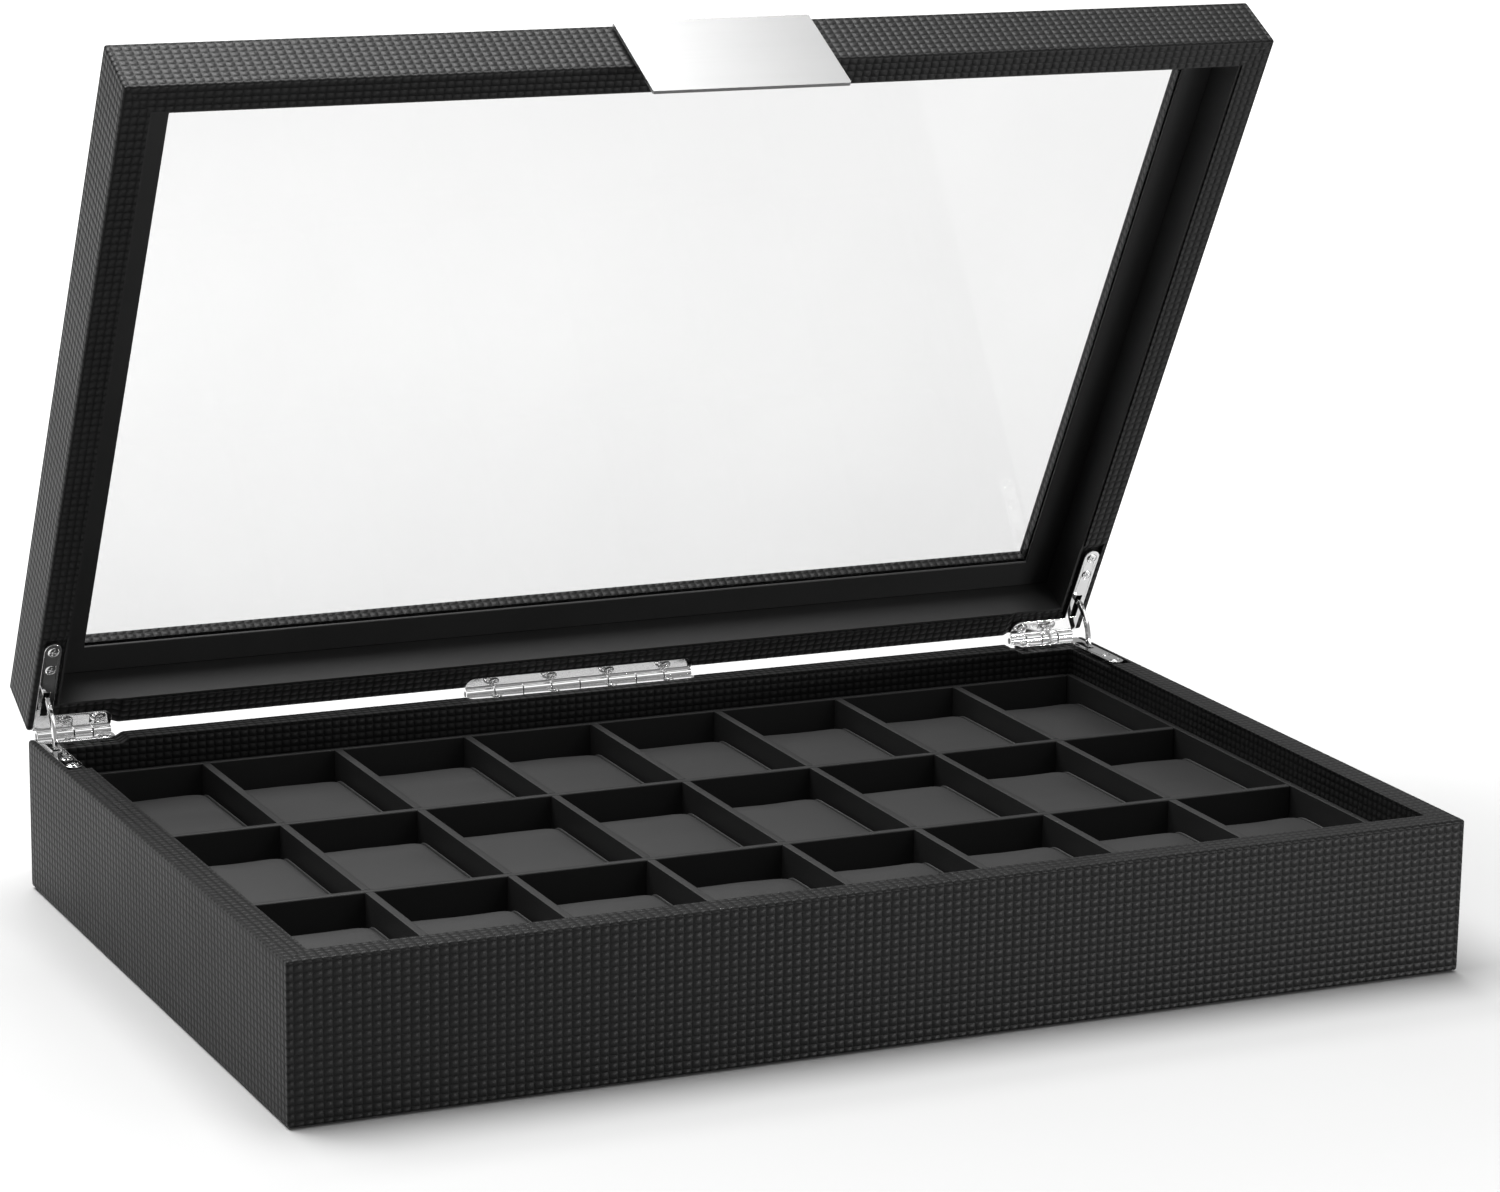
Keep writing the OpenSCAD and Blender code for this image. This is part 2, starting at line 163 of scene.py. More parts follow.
def weave_material(name, dark, light, relief, roughness, specular):
    """Leatherette embossed like a plain weave, laid along each board and mitred where the rims meet. Its
    colour is painted darker down in the grooves between the threads, as painted shade.
    """
    s = Shader(name, specular_ior_level=specular)
    coordinates = s.node("TexCoord")
    place = s.node("SeparateXYZ", {0: coordinates.outputs["Object"]}).outputs
    facing = s.node("SeparateXYZ", {0: coordinates.outputs["Normal"]}).outputs
    to_side = s.math("GREATER_THAN", s.math("ABSOLUTE", facing[0]), MOSTLY)
    to_top = s.math("GREATER_THAN", s.math("ABSOLUTE", facing[2]), MOSTLY)
    across = s.math("SUBTRACT", s.math("ABSOLUTE", place[0]), HALF_W)
    along = s.math("SUBTRACT", s.math("ABSOLUTE", place[1]), HALF_D)
    past_mitre = s.math("SUBTRACT", across, along)
    side_board = s.math("GREATER_THAN", past_mitre, 0.0)
    runs_y = s.math("MAXIMUM", to_side, s.math("MULTIPLY", to_top, side_board))
    u = s.math("DIVIDE", s.mix(runs_y, place[0], place[1]), THREAD_U)
    v = s.math("DIVIDE", s.mix(to_top, place[2], s.mix(side_board, place[1], place[0])), THREAD_V)
    odd = s.math("MODULO", s.math("ABSOLUTE", s.math("ADD", s.math("FLOOR", u), s.math("FLOOR", v))), 2.0)
    hump_u = s.math("ABSOLUTE", s.math("SINE", s.math("MULTIPLY", u, math.pi)))
    hump_v = s.math("ABSOLUTE", s.math("SINE", s.math("MULTIPLY", v, math.pi)))
    flat_u, flat_v = [s.math("POWER", hump, THREAD_FLAT) for hump in (hump_u, hump_v)]
    round_u, round_v = [s.math("POWER", hump, THREAD_ROUND) for hump in (hump_u, hump_v)]
    over = s.mix(odd, s.math("MULTIPLY", flat_u, round_v), s.math("MULTIPLY", round_u, flat_v))
    mitre = s.math("LESS_THAN", s.math("ABSOLUTE", past_mitre), MITRE_HALF)
    seam = s.math("MULTIPLY", mitre, to_top)
    height = s.math("MULTIPLY", over, s.math("SUBTRACT", 1.0, seam))
    grain = s.noise(coordinates.outputs["Object"], 2600.0, 2.0)
    cloudy = s.noise(coordinates.outputs["Object"], 14.0, 3.0)
    height = s.math("ADD", height, s.math("MULTIPLY", grain, 0.16))
    # Colour: painted shade, darker where the threads dip into the grooves, with random cloudy tone on top
    shade = s.math("ADD", s.math("MULTIPLY", over, 0.75), s.math("MULTIPLY", cloudy, 0.35))
    rough = s.math("ADD", s.math("MULTIPLY", over, -0.10), s.math("MULTIPLY", cloudy, 0.10))
    return s.finish(
        s.ramp(shade, dark, light),
        s.math("ADD", rough, roughness, clamp=True),
        s.bump(height, relief),
    )


def leather_material(name, dark, light, roughness, grain_size, relief, specular, sheen=0.0):
    """Smooth leatherette with a fine pebble grain."""
    s = Shader(name, specular_ior_level=specular, sheen_weight=sheen, sheen_roughness=0.4)
    place = s.node("TexCoord").outputs["Object"]
    cells = s.node("TexVoronoi", {"Vector": place, "Scale": 1.0 / grain_size}, feature="DISTANCE_TO_EDGE")
    pebble = s.math("MINIMUM", s.math("MULTIPLY", cells.outputs[0], 3.0), 1.0)
    fine = s.noise(place, 2.5 / grain_size, 2.0)
    cloudy = s.noise(place, 22.0, 3.0)
    shade = s.math("ADD", s.math("MULTIPLY", pebble, 0.35), s.math("MULTIPLY", cloudy, 0.6))
    rough = s.math("ADD", s.math("MULTIPLY", cloudy, 0.12), s.math("MULTIPLY", fine, 0.08))
    height = s.math("ADD", pebble, s.math("MULTIPLY", fine, 0.4))
    return s.finish(s.ramp(shade, dark, light), s.math("ADD", rough, roughness), s.bump(height, relief))


def felt_material():
    s = Shader("felt", specular_ior_level=0.1, sheen_weight=0.3, sheen_roughness=0.5)
    place = s.node("TexCoord").outputs["Object"]
    tufts = s.noise(place, 1500.0, 4.0, 0.7)
    fibres = s.noise(s.stretched(place, 1.0, 0.3, 1.0), 5000.0, 2.0)
    height = s.math("ADD", tufts, s.math("MULTIPLY", fibres, 0.5))
    rough = s.math("ADD", s.math("MULTIPLY", fibres, 0.1), 0.85)
    return s.finish(s.ramp(tufts, 0.006, 0.02), rough, s.bump(height, 0.2 * MM))


def polished_material(name, dark, light):
    """Smooth metal with faint smears, and scratches along X."""
    s = Shader(name, metallic=1.0)
    place = s.node("TexCoord").outputs["Object"]
    smears = s.noise(place, 120.0, 4.0)
    scratches = s.noise(s.stretched(place, 1.0, 14.0, 14.0), 900.0, 2.0)
    rough = s.math("ADD", s.math("MULTIPLY", smears, 0.06), s.math("MULTIPLY", scratches, 0.04))
    rough = s.math("ADD", rough, 0.01)
    return s.finish(s.ramp(smears, dark, light), rough, s.bump(scratches, 0.0007 * MM))


def brushed_material():
    """Satin metal, finely brushed along X."""
    s = Shader("brushed_plate", metallic=1.0)
    place = s.node("TexCoord").outputs["Object"]
    lines = s.noise(s.stretched(place, 25.0, 4200.0, 4200.0), 1.0, 3.0, 0.6)
    wide = s.noise(s.stretched(place, 8.0, 500.0, 500.0), 1.0, 2.0)
    rough = s.math("ADD", s.math("MULTIPLY", lines, 0.08), s.math("MULTIPLY", wide, 0.04))
    rough = s.math("ADD", rough, 0.28)
    shade = s.math("ADD", s.math("MULTIPLY", lines, 0.6), s.math("MULTIPLY", wide, 0.4))
    return s.finish(s.ramp(shade, 0.26, 0.29), rough, s.bump(lines, 0.0018 * MM))


def foam_material():
    s = Shader("foam_pad", specular_ior_level=0.2)
    place = s.node("TexCoord").outputs["Object"]
    cells = s.node("TexVoronoi", {"Vector": place, "Scale": 1800.0}).outputs[0]
    rough = s.math("ADD", s.math("MULTIPLY", cells, 0.1), 0.8)
    return s.finish(s.ramp(cells, 0.008, 0.025), rough, s.bump(cells, 0.1 * MM))


def glass_material():
    """Thin clear pane: a faint grey tint, under a mirror that grows towards grazing angles."""
    s = Shader("clear_glass", roughness=0.0)
    s.tree.nodes.remove(s.bsdf)
    place = s.node("TexCoord").outputs["Object"]
    haze = s.noise(place, 9.0, 2.0)
    through = s.node("BsdfTransparent", {0: s.ramp(haze, 0.81, 0.84)})
    mirror = s.node("BsdfGlossy", {"Color": grey(1.0), "Roughness": s.math("MULTIPLY", haze, 0.02)})
    facing = s.node("LayerWeight", {"Blend": 0.5}).outputs["Facing"]
    share = s.math("MULTIPLY_ADD", s.math("POWER", facing, 5.0), 0.96, 0.02)
    blend = s.node("MixShader", {0: share, 1: through.outputs[0], 2: mirror.outputs[0]})
    output = next(n for n in s.tree.nodes if n.type == "OUTPUT_MATERIAL")
    s.tree.links.new(blend.outputs[0], output.inputs[0])
    return s.material


weave = weave_material("weave_wrap", 0.0012, 0.014, 0.38 * MM, 0.44, 0.13)
# Rounded edges of the wraps: shinier, and much lighter in colour, partly rubbed wear and mostly a painted
# highlight for the light lines that the edges catch
weave_edge_wear_and_highlight = weave_material("weave_wrap_edge_wear_and_highlight", 0.035, 0.065, 0.08 * MM, 0.34, 0.5)
smooth = leather_material("smooth_wrap", 0.006, 0.014, 0.46, 0.45 * MM, 0.020 * MM, 0.3)
cushion = leather_material("cushion_wrap", 0.009, 0.0155, 0.42, 0.6 * MM, 0.015 * MM, 0.4, sheen=0.04)
felt = felt_material()
chrome = polished_material("chrome", 0.82, 0.9)
steel = polished_material("pin_steel", 0.06, 0.1)
brushed = brushed_material()
foam = foam_material()
glass = glass_material()


# ---- Building meshes ----

# Points closer than this are one point
WELD = 0.002 * MM


def piece(name, mesh, body, materials, matrix=None):
    """An object for a finished mesh, riding on its body."""
    made = bpy.data.objects.new(name, mesh)
    bpy.context.scene.collection.objects.link(made)
    if materials:
        part = [f.material_index for f in mesh.polygons]
        mesh.materials.clear()
        for material in materials:
            mesh.materials.append(material)
        mesh.polygons.foreach_set("material_index", part)
    if matrix is not None:
        made.matrix_world = matrix
    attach(made, body)
    return made


def box_mesh(low, high):
    """A bmesh box between two corners."""
    bm = bmesh.new()
    bmesh.ops.create_cube(bm, size=1.0)
    middle = (Vector(low) + Vector(high)) / 2
    size = Vector(high) - Vector(low)
    for v in bm.verts:
        v.co = Vector((v.co.x * size.x, v.co.y * size.y, v.co.z * size.z)) + middle
    return bm


def prism_mesh(outline, low, high, axis):
    """A bmesh prism: an outline in the two other axes, from low to high along axis."""
    bm = bmesh.new()

    def point(a, b, c):
        return {"X": (c, a, b), "Y": (a, c, b), "Z": (a, b, c)}[axis]

    first = [bm.verts.new(point(a, b, low)) for a, b in outline]
    last = [bm.verts.new(point(a, b, high)) for a, b in outline]
    bm.faces.new(first)
    bm.faces.new(last)
    for i in range(len(outline)):
        j = (i + 1) % len(outline)
        bm.faces.new((first[i], first[j], last[j], last[i]))
    bmesh.ops.recalc_face_normals(bm, faces=bm.faces)
    return bm


def to_object(bm, name="scratch"):
    mesh = bpy.data.meshes.new(name)
    bm.to_mesh(mesh)
    bm.free()
    made = bpy.data.objects.new(name, mesh)
    bpy.context.scene.collection.objects.link(made)
    return made


def applied(obj, name):
    """The mesh of an object with its modifiers applied. The object is removed."""
    bpy.context.view_layer.update()
    mesh = bpy.data.meshes.new_from_object(obj.evaluated_get(bpy.context.evaluated_depsgraph_get()))
    mesh.name = name
    bpy.data.objects.remove(obj)
    return mesh


def carve(body_bm, cutters, name, edge_width):
    """Cuts every cutter out of a solid, then rounds the edges that are still sharp. Returns a mesh."""
    solid = to_object(body_bm)
    made = [to_object(c) for c in cutters]
    for cutter in made:
        m = solid.modifiers.new("cut", "BOOLEAN")
        m.operation, m.solver, m.object = "DIFFERENCE", "EXACT", cutter
    mesh = applied(solid, name)
    for cutter in made:
        bpy.data.objects.remove(cutter)
    shaped = bpy.data.objects.new(name, mesh)
    bpy.context.scene.collection.objects.link(shaped)
    weld = shaped.modifiers.new("weld", "WELD")
    weld.merge_threshold = WELD
    soften = shaped.modifiers.new("soften", "BEVEL")
    soften.width, soften.segments, soften.limit_method = edge_width, 3, "ANGLE"
    # The rounds go in material 1, the lighter edge colour that holds the painted highlight
    soften.angle_limit, soften.material = math.radians(40), 1
    soften.use_clamp_overlap = True
    shading = shaped.modifiers.new("normals", "WEIGHTED_NORMAL")
    shading.keep_sharp = True
    mesh.polygons.foreach_set("use_smooth", [True] * len(mesh.polygons))
    return applied(shaped, name)


def rounded_block(low, high, radius):
    """A box with all its edges rounded, the rounds in material 1 (on the wraps, the lighter edge colour with
    its painted highlight).
    """
    solid = to_object(box_mesh(low, high))
    m = solid.modifiers.new("round", "BEVEL")
    m.width, m.segments, m.limit_method, m.material = radius, 4, "ANGLE", 1
    mesh = applied(solid, "block")
    bm = bmesh.new()
    bm.from_mesh(mesh)
    bpy.data.meshes.remove(mesh)
    return bm


# ---- Wraps of the base and the lid ----

# Rounding of the outer edges, and of the edges that the cutters leave
EDGE_R = 1.2 * MM
INNER_EDGE_R = 0.6 * MM
# How far a cutter reaches past the board that it cuts
OVER = 2 * MM
# Width of the lid's top frame, from the outside to the window
WINDOW_MARGIN = 26.0 * MM
# Play round the glass pane in its rebate: sideways, front to back, and above
PANE_PLAY = Vector((0.3, 0.3, 0.1)) * MM

# Hinge recesses: play round a leaf, and how far the slope at a corner recess's ends runs
RECESS_PLAY = 0.3 * MM
SLOPE = 4.0 * MM
leaf_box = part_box("left_base_leaf")
RECESS_LOW = leaf_box[0].z
ARM_FRONT = leaf_box[0].y - RECESS_PLAY
RECESS_LEFT = leaf_box[0].x - RECESS_PLAY
RECESS_RIGHT = leaf_box[1].x + RECESS_PLAY
centre_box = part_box("centre_base_leaf")
CENTRE_HALF = centre_box[1].x + RECESS_PLAY
CENTRE_FRONT = centre_box[0].y - RECESS_PLAY
CENTRE_R = 4.0 * MM + RECESS_PLAY
CENTRE_STEPS = 8

# Curved pockets of the stay arms: mean radius, half their height and width, and how far round they go
STAY_R = 21.0 * MM
POCKET_HALF = 2.1 * MM
POCKET_HALF_X = 1.25 * MM
POCKET_FROM = math.radians(-4)
POCKET_TO = math.radians(62)
POCKET_STEPS = 14
# Half the width of a stay arm, and how far its middle is from the case's middle
STAY_HALF_X = 0.8 * MM
STAY_X = -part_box("stay_arms")[0].x - STAY_HALF_X


def recess_cutters(flip):
    """Cutters for the hinge recesses, in the base's rim, or in the lid's rim if flip."""

    def level(z):
        return 2 * AXIS.z - z if flip else z

    low, high = level(RECESS_LOW), level(RIM_Z + OVER)
    run = SLOPE * (RIM_Z + OVER - RECESS_LOW) / (RIM_Z - RECESS_LOW)
    back = HALF_D + OVER
    made = []
    for side in (-1, 1):
        side_low, side_high = sorted((side * -RECESS_LEFT, side * (HALF_W - WALL - OVER)))
        outline = [(ARM_FRONT - run, high), (ARM_FRONT, low), (back, low), (back, high)]
        made.append(prism_mesh(outline, side_low, side_high, "X"))
        outline = [(RECESS_LEFT, high), (RECESS_LEFT, low), (RECESS_RIGHT, low), (RECESS_RIGHT + run, high)]
        outline = [(-side * x, z) for x, z in outline]
        made.append(prism_mesh(outline, HALF_D - WALL - OVER, back, "Y"))
    outline = [(CENTRE_HALF, back), (-CENTRE_HALF, back)]
    for middle, start in ((-CENTRE_HALF + CENTRE_R, 180), (CENTRE_HALF - CENTRE_R, 270)):
        for i in range(CENTRE_STEPS + 1):
            a = math.radians(start + i * 90 / CENTRE_STEPS)
            x = middle + CENTRE_R * math.cos(a)
            outline.append((x, CENTRE_FRONT + CENTRE_R + CENTRE_R * math.sin(a)))
    made.append(prism_mesh(outline, *sorted((low, high)), "Z"))
    return made


def pocket_cutters(flip):
    """Cutters for the curved pockets that the stay arms slide in, in the base, or in the lid if flip."""
    angles = [POCKET_FROM + (POCKET_TO - POCKET_FROM) * i / POCKET_STEPS for i in range(POCKET_STEPS + 1)]
    turn = 1 if flip else -1
    outline = [(STAY_R + POCKET_HALF, a) for a in angles]
    outline += [(STAY_R - POCKET_HALF, a) for a in reversed(angles)]
    outline = [(AXIS.y - r * math.cos(a), AXIS.z + turn * r * math.sin(a)) for r, a in outline]
    middles = [side * STAY_X for side in (-1, 1)]
    return [prism_mesh(outline, x - POCKET_HALF_X, x + POCKET_HALF_X, "X") for x in middles]


def block_within(inset, low, high):
    """A box as wide and deep as the case less inset all round, from low to high."""
    x, y = HALF_W - inset, HALF_D - inset
    return box_mesh((-x, -y, low), (x, y, high))


def base_wrap():
    """The base's four wall boards in one wrap."""
    inner = block_within(WALL, BASE_LOW - OVER, RIM_Z + OVER)
    block = rounded_block((-HALF_W, -HALF_D, BASE_LOW), (HALF_W, HALF_D, RIM_Z), EDGE_R)
    mesh = carve(block, [inner] + recess_cutters(False) + pocket_cutters(False), "base_wrap", INNER_EDGE_R)
    made = piece("base_wrap", mesh, "base", [weave, weave_edge_wear_and_highlight])
    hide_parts("base_front", "base_back", "base_left", "base_right")


def lid_wrap():
    """The lid's four wall boards and its top frame in one wrap, made shut and then stood open."""
    window = block_within(WINDOW_MARGIN, FRAME_LOW - OVER, LID_TOP + OVER)
    low, high = glass_box
    rebate_low = (low.x - PANE_PLAY.x, low.y - PANE_PLAY.y, FRAME_LOW - OVER)
    rebate = box_mesh(rebate_low, high + PANE_PLAY)
    inner = block_within(WALL, LID_Z - OVER, FRAME_LOW)
    block = rounded_block((-HALF_W, -HALF_D, LID_Z), (HALF_W, HALF_D, LID_TOP), EDGE_R)
    cutters = [inner, window, rebate] + recess_cutters(True) + pocket_cutters(True)
    mesh = carve(block, cutters, "lid_wrap", INNER_EDGE_R)
    made = piece("lid_wrap", mesh, "lid", [weave, weave_edge_wear_and_highlight], OPEN_LID)
    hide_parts("lid_front", "lid_back", "lid_left", "lid_right", "lid_top_frame")


# ---- Pillows ----

# Mesh of a pillow's wrap: rings along it, and points round each ring
PILLOW_RINGS = 22
PILLOW_AROUND = 64
# How far inside its CAD box a pillow starts, so that it has room to swell
START_IN = 0.9 * MM
# Radius of the wrap's turns, and the steps in each turn before the outline is spaced evenly
TURN_R = 12.5 * MM
TURN_STEPS = 16
# Unevenness of the stuffing: how far, and how many bumps in a metre
UNEVEN = 0.5 * MM
UNEVEN_SCALE = 45
# From a pillow's end to the seam of its cap
CAP_IN = 1.8 * MM
MAX_SWELL = 1.6 * MM
# How much of its swelling along X a point keeps, so that the seams stay in place
KEEP_X = 0.5
# Rounding of a pillow's corners seen from above: how far they come in, over what length
CORNER_IN = 2.6 * MM
CORNER_RUN = 6.0 * MM
# Profile of an end from the seam to the cap's middle, in mm: distance in from the end, and inset all round
END_PROFILE = [(1.65, 0.75), (1.45, 0.75), (1.25, 0.0), (0.9, -0.35), (0.45, -0.2), (0.1, 0.5)]
END_PROFILE += [(0.0, 1.6), (-0.1, 4.0), (-0.3, 9.0), (-0.4, 14.0)]
# Cloth frames until the pressure and the wrap are in balance
CLOTH_FRAMES = 20
# How many different pillows are made, and how loosely each lies in its compartment, in mm and degrees
PILLOW_FORMS = 4
SETTLE_X = 0.5
SETTLE_Y = 0.6
TWIST_DEG = 0.35


def pillow_outline(half_y, half_z, radius, count):
    """Points round the pillow's wrap in Y and Z: straight runs and round turns, evenly spaced."""
    corners = [(half_y - radius, half_z - radius, 0), (-half_y + radius, half_z - radius, 90),
               (-half_y + radius, -half_z + radius, 180), (half_y - radius, -half_z + radius, 270)]
    dense = []
    for y, z, start in corners:
        for i in range(TURN_STEPS + 1):
            a = math.radians(start + i * 90 / TURN_STEPS)
            dense.append(Vector((y + radius * math.cos(a), z + radius * math.sin(a))))
    dense.append(dense[0])
    lengths = [(b - a).length for a, b in zip(dense, dense[1:])]
    step = sum(lengths) / count
    points, walked, i = [], 0.0, 0
    for n in range(count):
        target = n * step
        while walked + lengths[i] < target:
            walked += lengths[i]
            i += 1
        points.append(dense[i].lerp(dense[i + 1], (target - walked) / lengths[i]))
    return points


def tube_mesh(rings, name):
    """A mesh from closed rings of points, open at both ends."""
    bm = bmesh.new()
    made = [[bm.verts.new(p) for p in ring] for ring in rings]
    for a, b in zip(made, made[1:]):
        for i in range(len(a)):
            j = (i + 1) % len(a)
            bm.faces.new((a[i], a[j], b[j], b[i]))
    bmesh.ops.recalc_face_normals(bm, faces=bm.faces)
    mesh = bpy.data.meshes.new(name)
    bm.to_mesh(mesh)
    bm.free()
    return mesh


def inflate(mesh, rings, around):
    """Cloth under pressure, held at both end rings. Returns the new places of the vertices."""
    obj = bpy.data.objects.new("sim", mesh)
    bpy.context.scene.collection.objects.link(obj)
    group = obj.vertex_groups.new(name="held")
    group.add(list(range(around)) + list(range((rings - 1) * around, rings * around)), 1.0, "REPLACE")
    cloth = obj.modifiers.new("cloth", "CLOTH")
    settings = cloth.settings
    settings.vertex_group_mass = "held"
    settings.quality = 6
    settings.mass = 0.15
    settings.tension_stiffness = settings.compression_stiffness = 25
    settings.shear_stiffness = 12
    settings.bending_stiffness = 0.4
    settings.use_pressure = True
    settings.uniform_pressure_force = 3.0
    settings.effector_weights.gravity = 0.0
    cloth.collision_settings.use_self_collision = False
    scene = bpy.context.scene
    for f in range(1, CLOTH_FRAMES + 1):
        scene.frame_set(f)
    held = obj.evaluated_get(bpy.context.evaluated_depsgraph_get()).to_mesh()
    places = [v.co.copy() for v in held.vertices]
    scene.frame_set(1)
    bpy.data.objects.remove(obj)
    return places


def corner_pull(x, seam_x):
    """How far the wrap's sides come in near an end, so that the pillow's corners look round from above."""
    past = max(0.0, (x - seam_x + CORNER_RUN) / CORNER_RUN)
    return CORNER_IN * (1 - math.sqrt(max(0.0, 1 - past * past)))


def pillow_mesh(seed, half):
    """One pillow about its middle: a wrap that swells between two seams, and a welted cap at each end."""
    rng = random.Random(seed)
    outline = pillow_outline(half.y - START_IN, half.z - START_IN, TURN_R, PILLOW_AROUND)
    shift = Vector((rng.uniform(0, 50), rng.uniform(0, 50), rng.uniform(0, 50)))
    rings = []
    seam_x = half.x - CAP_IN
    for k in range(PILLOW_RINGS):
        x = seam_x * (2 * k / (PILLOW_RINGS - 1) - 1)
        ring = []
        for p in outline:
            start = Vector((x, p.x, p.y))
            uneven = noise.noise(start * UNEVEN_SCALE + shift) * UNEVEN
            ring.append(start + Vector((0, p.x, p.y)).normalized() * uneven)
        rings.append(ring)
    rest = [p for ring in rings for p in ring]
    moved = inflate(tube_mesh(rings, "sim"), PILLOW_RINGS, PILLOW_AROUND)
    places = []
    for a, b in zip(rest, moved):
        swell = b - a
        swell.x *= KEEP_X
        place = a + swell * min(1.0, MAX_SWELL / max(swell.length, 1e-9))
        place.y *= 1 - corner_pull(abs(a.x), seam_x) / half.y
        places.append(place)
    n = PILLOW_AROUND
    middle = [places[k * n:(k + 1) * n] for k in range(PILLOW_RINGS)]

    def end_ring(side, x_in, shrink):
        """The outline near one end: x_in from the end, shrink smaller all round."""
        scale_y = 1 - (shrink + CORNER_IN) / half.y
        scale_z = 1 - shrink / half.z
        return [Vector((side * (half.x - x_in), p.x * scale_y, p.y * scale_z)) for p in outline]

    right = [end_ring(1, x * MM, shrink * MM) for x, shrink in END_PROFILE]
    left = [end_ring(-1, x * MM, shrink * MM) for x, shrink in END_PROFILE]
    mesh = tube_mesh(list(reversed(left)) + middle + right, f"pillow_form_{seed}")
    bm = bmesh.new()
    bm.from_mesh(mesh)
    bmesh.ops.holes_fill(bm, edges=[e for e in bm.edges if e.is_boundary], sides=0)
    bmesh.ops.recalc_face_normals(bm, faces=bm.faces)
    for f in bm.faces:
        f.smooth = True
    bm.to_mesh(mesh)
    bm.free()
    mesh.materials.append(cushion)
    return mesh


def pillows():
    """All the pillows, each one of a few forms, turned either way and settled a little out of line."""
    low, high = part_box("pillow_1_1")
    half = (high - low) / 2
    forms = [pillow_mesh(seed, half) for seed in range(1, PILLOW_FORMS + 1)]
    rng = random.Random(11)
    for name in sorted(n for n in nodes if n.startswith("pillow_")):
        low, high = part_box(name)
        turn = rng.choice((0.0, math.pi))
        settle = Vector((rng.uniform(-SETTLE_X, SETTLE_X), rng.uniform(-SETTLE_Y, SETTLE_Y), 0.0)) * MM
        twist = math.radians(rng.uniform(-TWIST_DEG, TWIST_DEG))
        matrix = Matrix.Translation((low + high) / 2 + settle) @ Matrix.Rotation(turn + twist, 4, "Z")
        made = piece(name + "_stuffed", rng.choice(forms), name, [], matrix)
        finer = made.modifiers.new("finer", "SUBSURF")
        finer.levels = finer.render_levels = 1
        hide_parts(name)


# ---- CAD nodes that stay, with softened edges ----


def finish_node(name, material, edge, segments=2, angle=35):
    """A CAD node's own mesh, with rounded edges and its material."""
    obj = nodes[name]
    mesh = obj.data
    mesh.materials.clear()
    mesh.materials.append(material)
    custom = mesh.attributes.get("custom_normal")
    if custom is not None:
        mesh.attributes.remove(custom)
    mesh.polygons.foreach_set("use_smooth", [True] * len(mesh.polygons))
    weld = obj.modifiers.new("weld", "WELD")
    weld.merge_threshold = WELD
    if edge:
        soften = obj.modifiers.new("soften", "BEVEL")
        soften.width, soften.segments, soften.limit_method = edge, segments, "ANGLE"
        soften.angle_limit = math.radians(angle)
    normals = obj.modifiers.new("normals", "WEIGHTED_NORMAL")
    normals.keep_sharp = True


def finish_nodes():
    """Every CAD node that no piece stands for."""
    finish_node("tray_surround", smooth, 0.7 * MM, 3)
    for name in [n for n in nodes if "_divider_" in n]:
        finish_node(name, smooth, 0.7 * MM, 3)
    finish_node("base_floor", smooth, 0)
    finish_node("lid_liner", smooth, 0.3 * MM)
    finish_node("glass_trim", smooth, 0.35 * MM)
    finish_node("bottom_felt", felt, 0.2 * MM)
    finish_node("glass_pane", glass, 0.25 * MM)
    finish_node("front_plate", brushed, 0.3 * MM, 3)
    finish_node("plate_pad", foam, 0.2 * MM)
    for name in nodes:
        if name.endswith("_leaf"):
            finish_node(name, chrome, 0.2 * MM, 3)
    finish_node("hinge_pins", steel, 0.2 * MM)
    finish_node("stay_arms", chrome, 0.3 * MM, 3)
    finish_node("base_hinge_screws", chrome, 0.06 * MM)
    finish_node("lid_hinge_screws", chrome, 0.06 * MM)


# ---- Camera, light and floor ----

# Where the camera stands, how it is turned, its lens, and its picture's shift
CAMERA_AT = Vector((-0.79702, -1.75931, 0.60520))
CAMERA_AZIMUTH = math.radians(25.81)
CAMERA_DOWN = math.radians(14.95)
CAMERA_ROLL = math.radians(1.16)
CAMERA_LENS = 117.09
CAMERA_SHIFT = (-0.0683, 0.0842)

# The floor reaches this far from the box, and has this shade
FLOOR_HALF = 14.0
FLOOR_SHADE = 0.42
# The floor's own light grows from none, at the first distance from the box, to FAR_GLOW at the second
GLOW_FROM = 0.4
GLOW_TO = 3.0
FAR_GLOW = 0.9
# Strength of the even light from all round
WORLD_LIGHT = 0.33


def camera():
    data = bpy.data.cameras.new("camera")
    data.lens, data.sensor_width = CAMERA_LENS, 36.0
    data.shift_x, data.shift_y = CAMERA_SHIFT
    data.clip_start, data.clip_end = 0.05, 60.0
    flat = math.cos(CAMERA_DOWN)
    ahead = Vector((math.sin(CAMERA_AZIMUTH) * flat, math.cos(CAMERA_AZIMUTH) * flat, -math.sin(CAMERA_DOWN)))
    right = ahead.cross(Vector((0, 0, 1))).normalized()
    up = right.cross(ahead)
    turned_right = right * math.cos(CAMERA_ROLL) + up * math.sin(CAMERA_ROLL)
    turned_up = up * math.cos(CAMERA_ROLL) - right * math.sin(CAMERA_ROLL)
    made = bpy.data.objects.new("camera", data)
    bpy.context.scene.collection.objects.link(made)
    rotation = Matrix((turned_right, turned_up, -ahead)).transposed()
    made.matrix_world = Matrix.Translation(CAMERA_AT) @ rotation.to_4x4()
    bpy.context.scene.camera = made


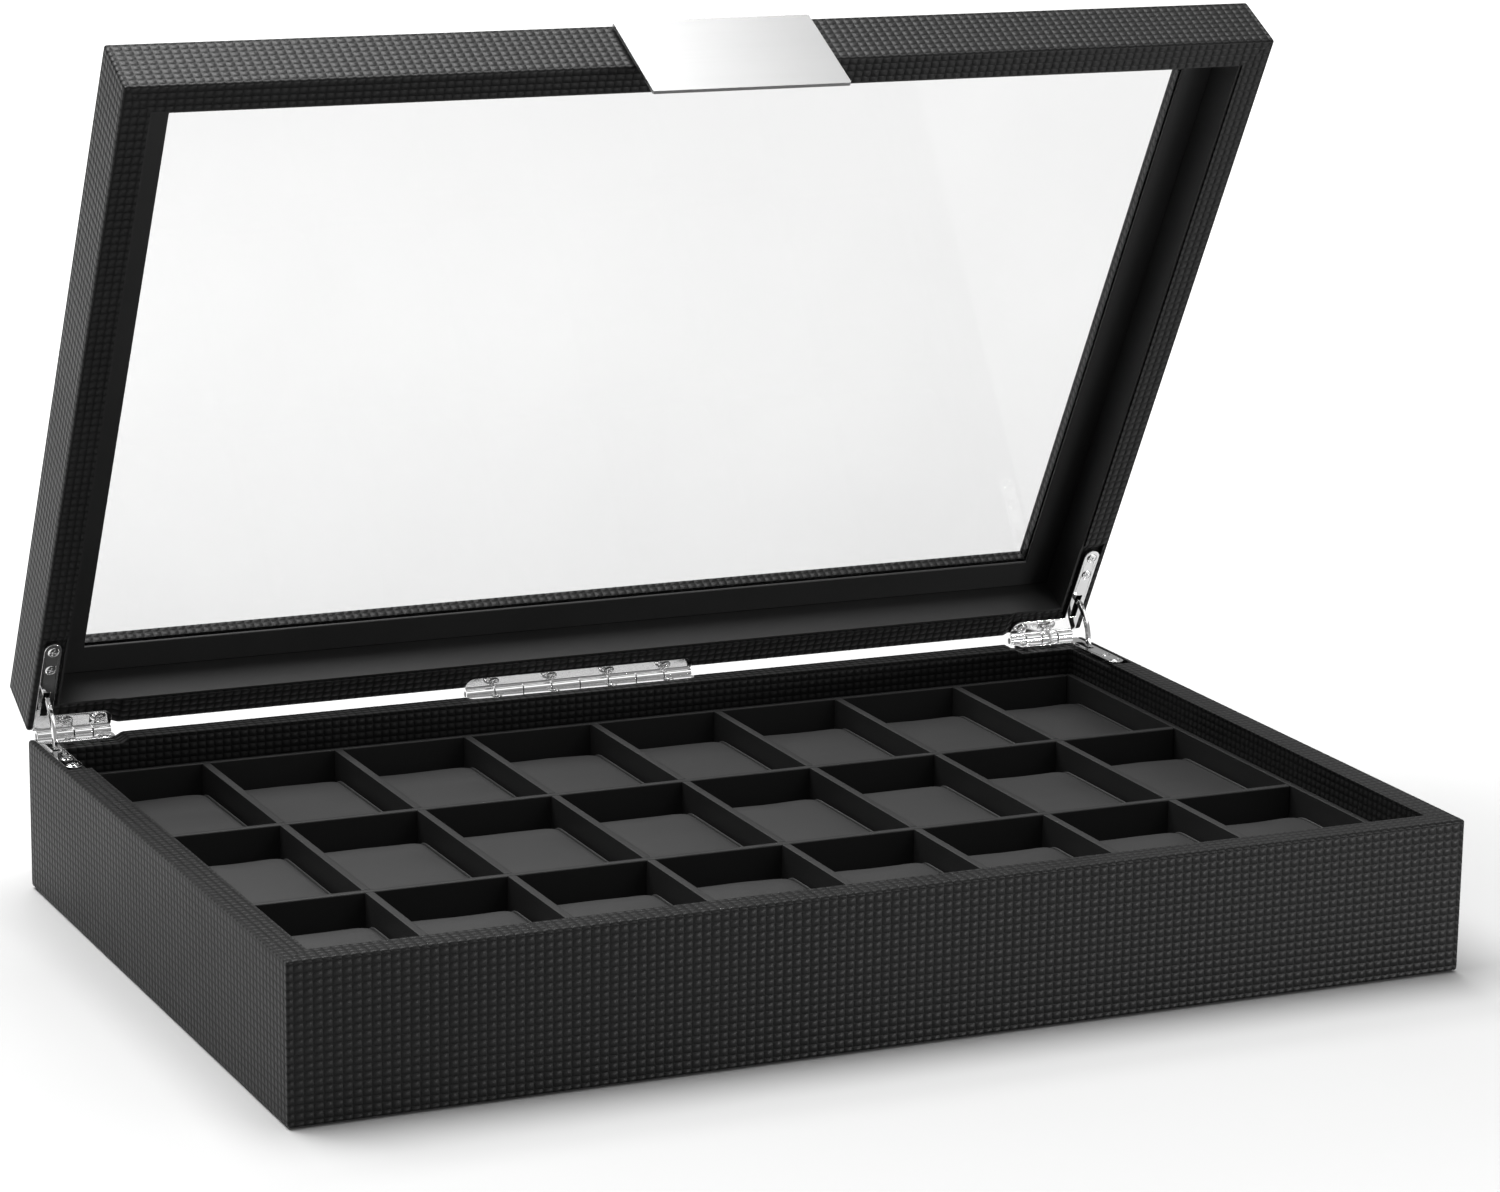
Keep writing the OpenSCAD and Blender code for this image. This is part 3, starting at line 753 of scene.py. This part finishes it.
def soft_box(name, place, target, width, height, power):
    """A rectangular light at place, turned to target, with its power in watts."""
    data = bpy.data.lights.new(name, "AREA")
    data.shape, data.size, data.size_y, data.energy = "RECTANGLE", width, height, power
    made = bpy.data.objects.new(name, data)
    bpy.context.scene.collection.objects.link(made)
    made.location = place
    made.visible_camera = False
    made.rotation_mode = "QUATERNION"
    made.rotation_quaternion = (Vector(target) - Vector(place)).to_track_quat("-Z", "Y")


def floor():
    """Pale floor, as bright far away as it is close to the box."""
    bm = bmesh.new()
    bmesh.ops.create_grid(bm, x_segments=2, y_segments=2, size=FLOOR_HALF)
    mesh = bpy.data.meshes.new("floor")
    bm.to_mesh(mesh)
    bm.free()
    made = bpy.data.objects.new("floor", mesh)
    bpy.context.scene.collection.objects.link(made)
    s = Shader("floor", specular_ior_level=0.1, roughness=0.9)
    place = s.node("TexCoord").outputs["Object"]
    away = s.node("VectorMath", {0: place}, operation="LENGTH").outputs["Value"]
    span = {"From Min": GLOW_FROM, "From Max": GLOW_TO, "To Min": 0.0, "To Max": FAR_GLOW}
    far = s.node("MapRange", {"Value": away, **span})
    s.put(s.bsdf.inputs["Base Color"], grey(FLOOR_SHADE))
    s.put(s.bsdf.inputs["Emission Color"], grey(1.0))
    s.put(s.bsdf.inputs["Emission Strength"], far.outputs[0])
    mesh.materials.append(s.material)


def studio():
    scene = bpy.context.scene
    scene.view_settings.view_transform = "Standard"
    world = bpy.data.worlds.new("studio")
    scene.world = world
    world.use_nodes = True
    world.node_tree.nodes["Background"].inputs[0].default_value = grey(1.0)
    world.node_tree.nodes["Background"].inputs[1].default_value = WORLD_LIGHT
    soft_box("overhead", (-0.45, 0.9, 2.4), (-0.4, 0.5, 0), 2.5, 2.4, 205)
    soft_box("front", (0.84, -0.94, 1.5), (0, 0.16, 0.06), 1.4, 0.9, 4)
    soft_box("front_right", (0.9, -1.1, 0.06), (0.3, -0.16, 0.04), 0.5, 0.1, 11)
    floor()


camera()
base_wrap()
lid_wrap()
pillows()
finish_nodes()
studio()

bpy.context.view_layer.update()
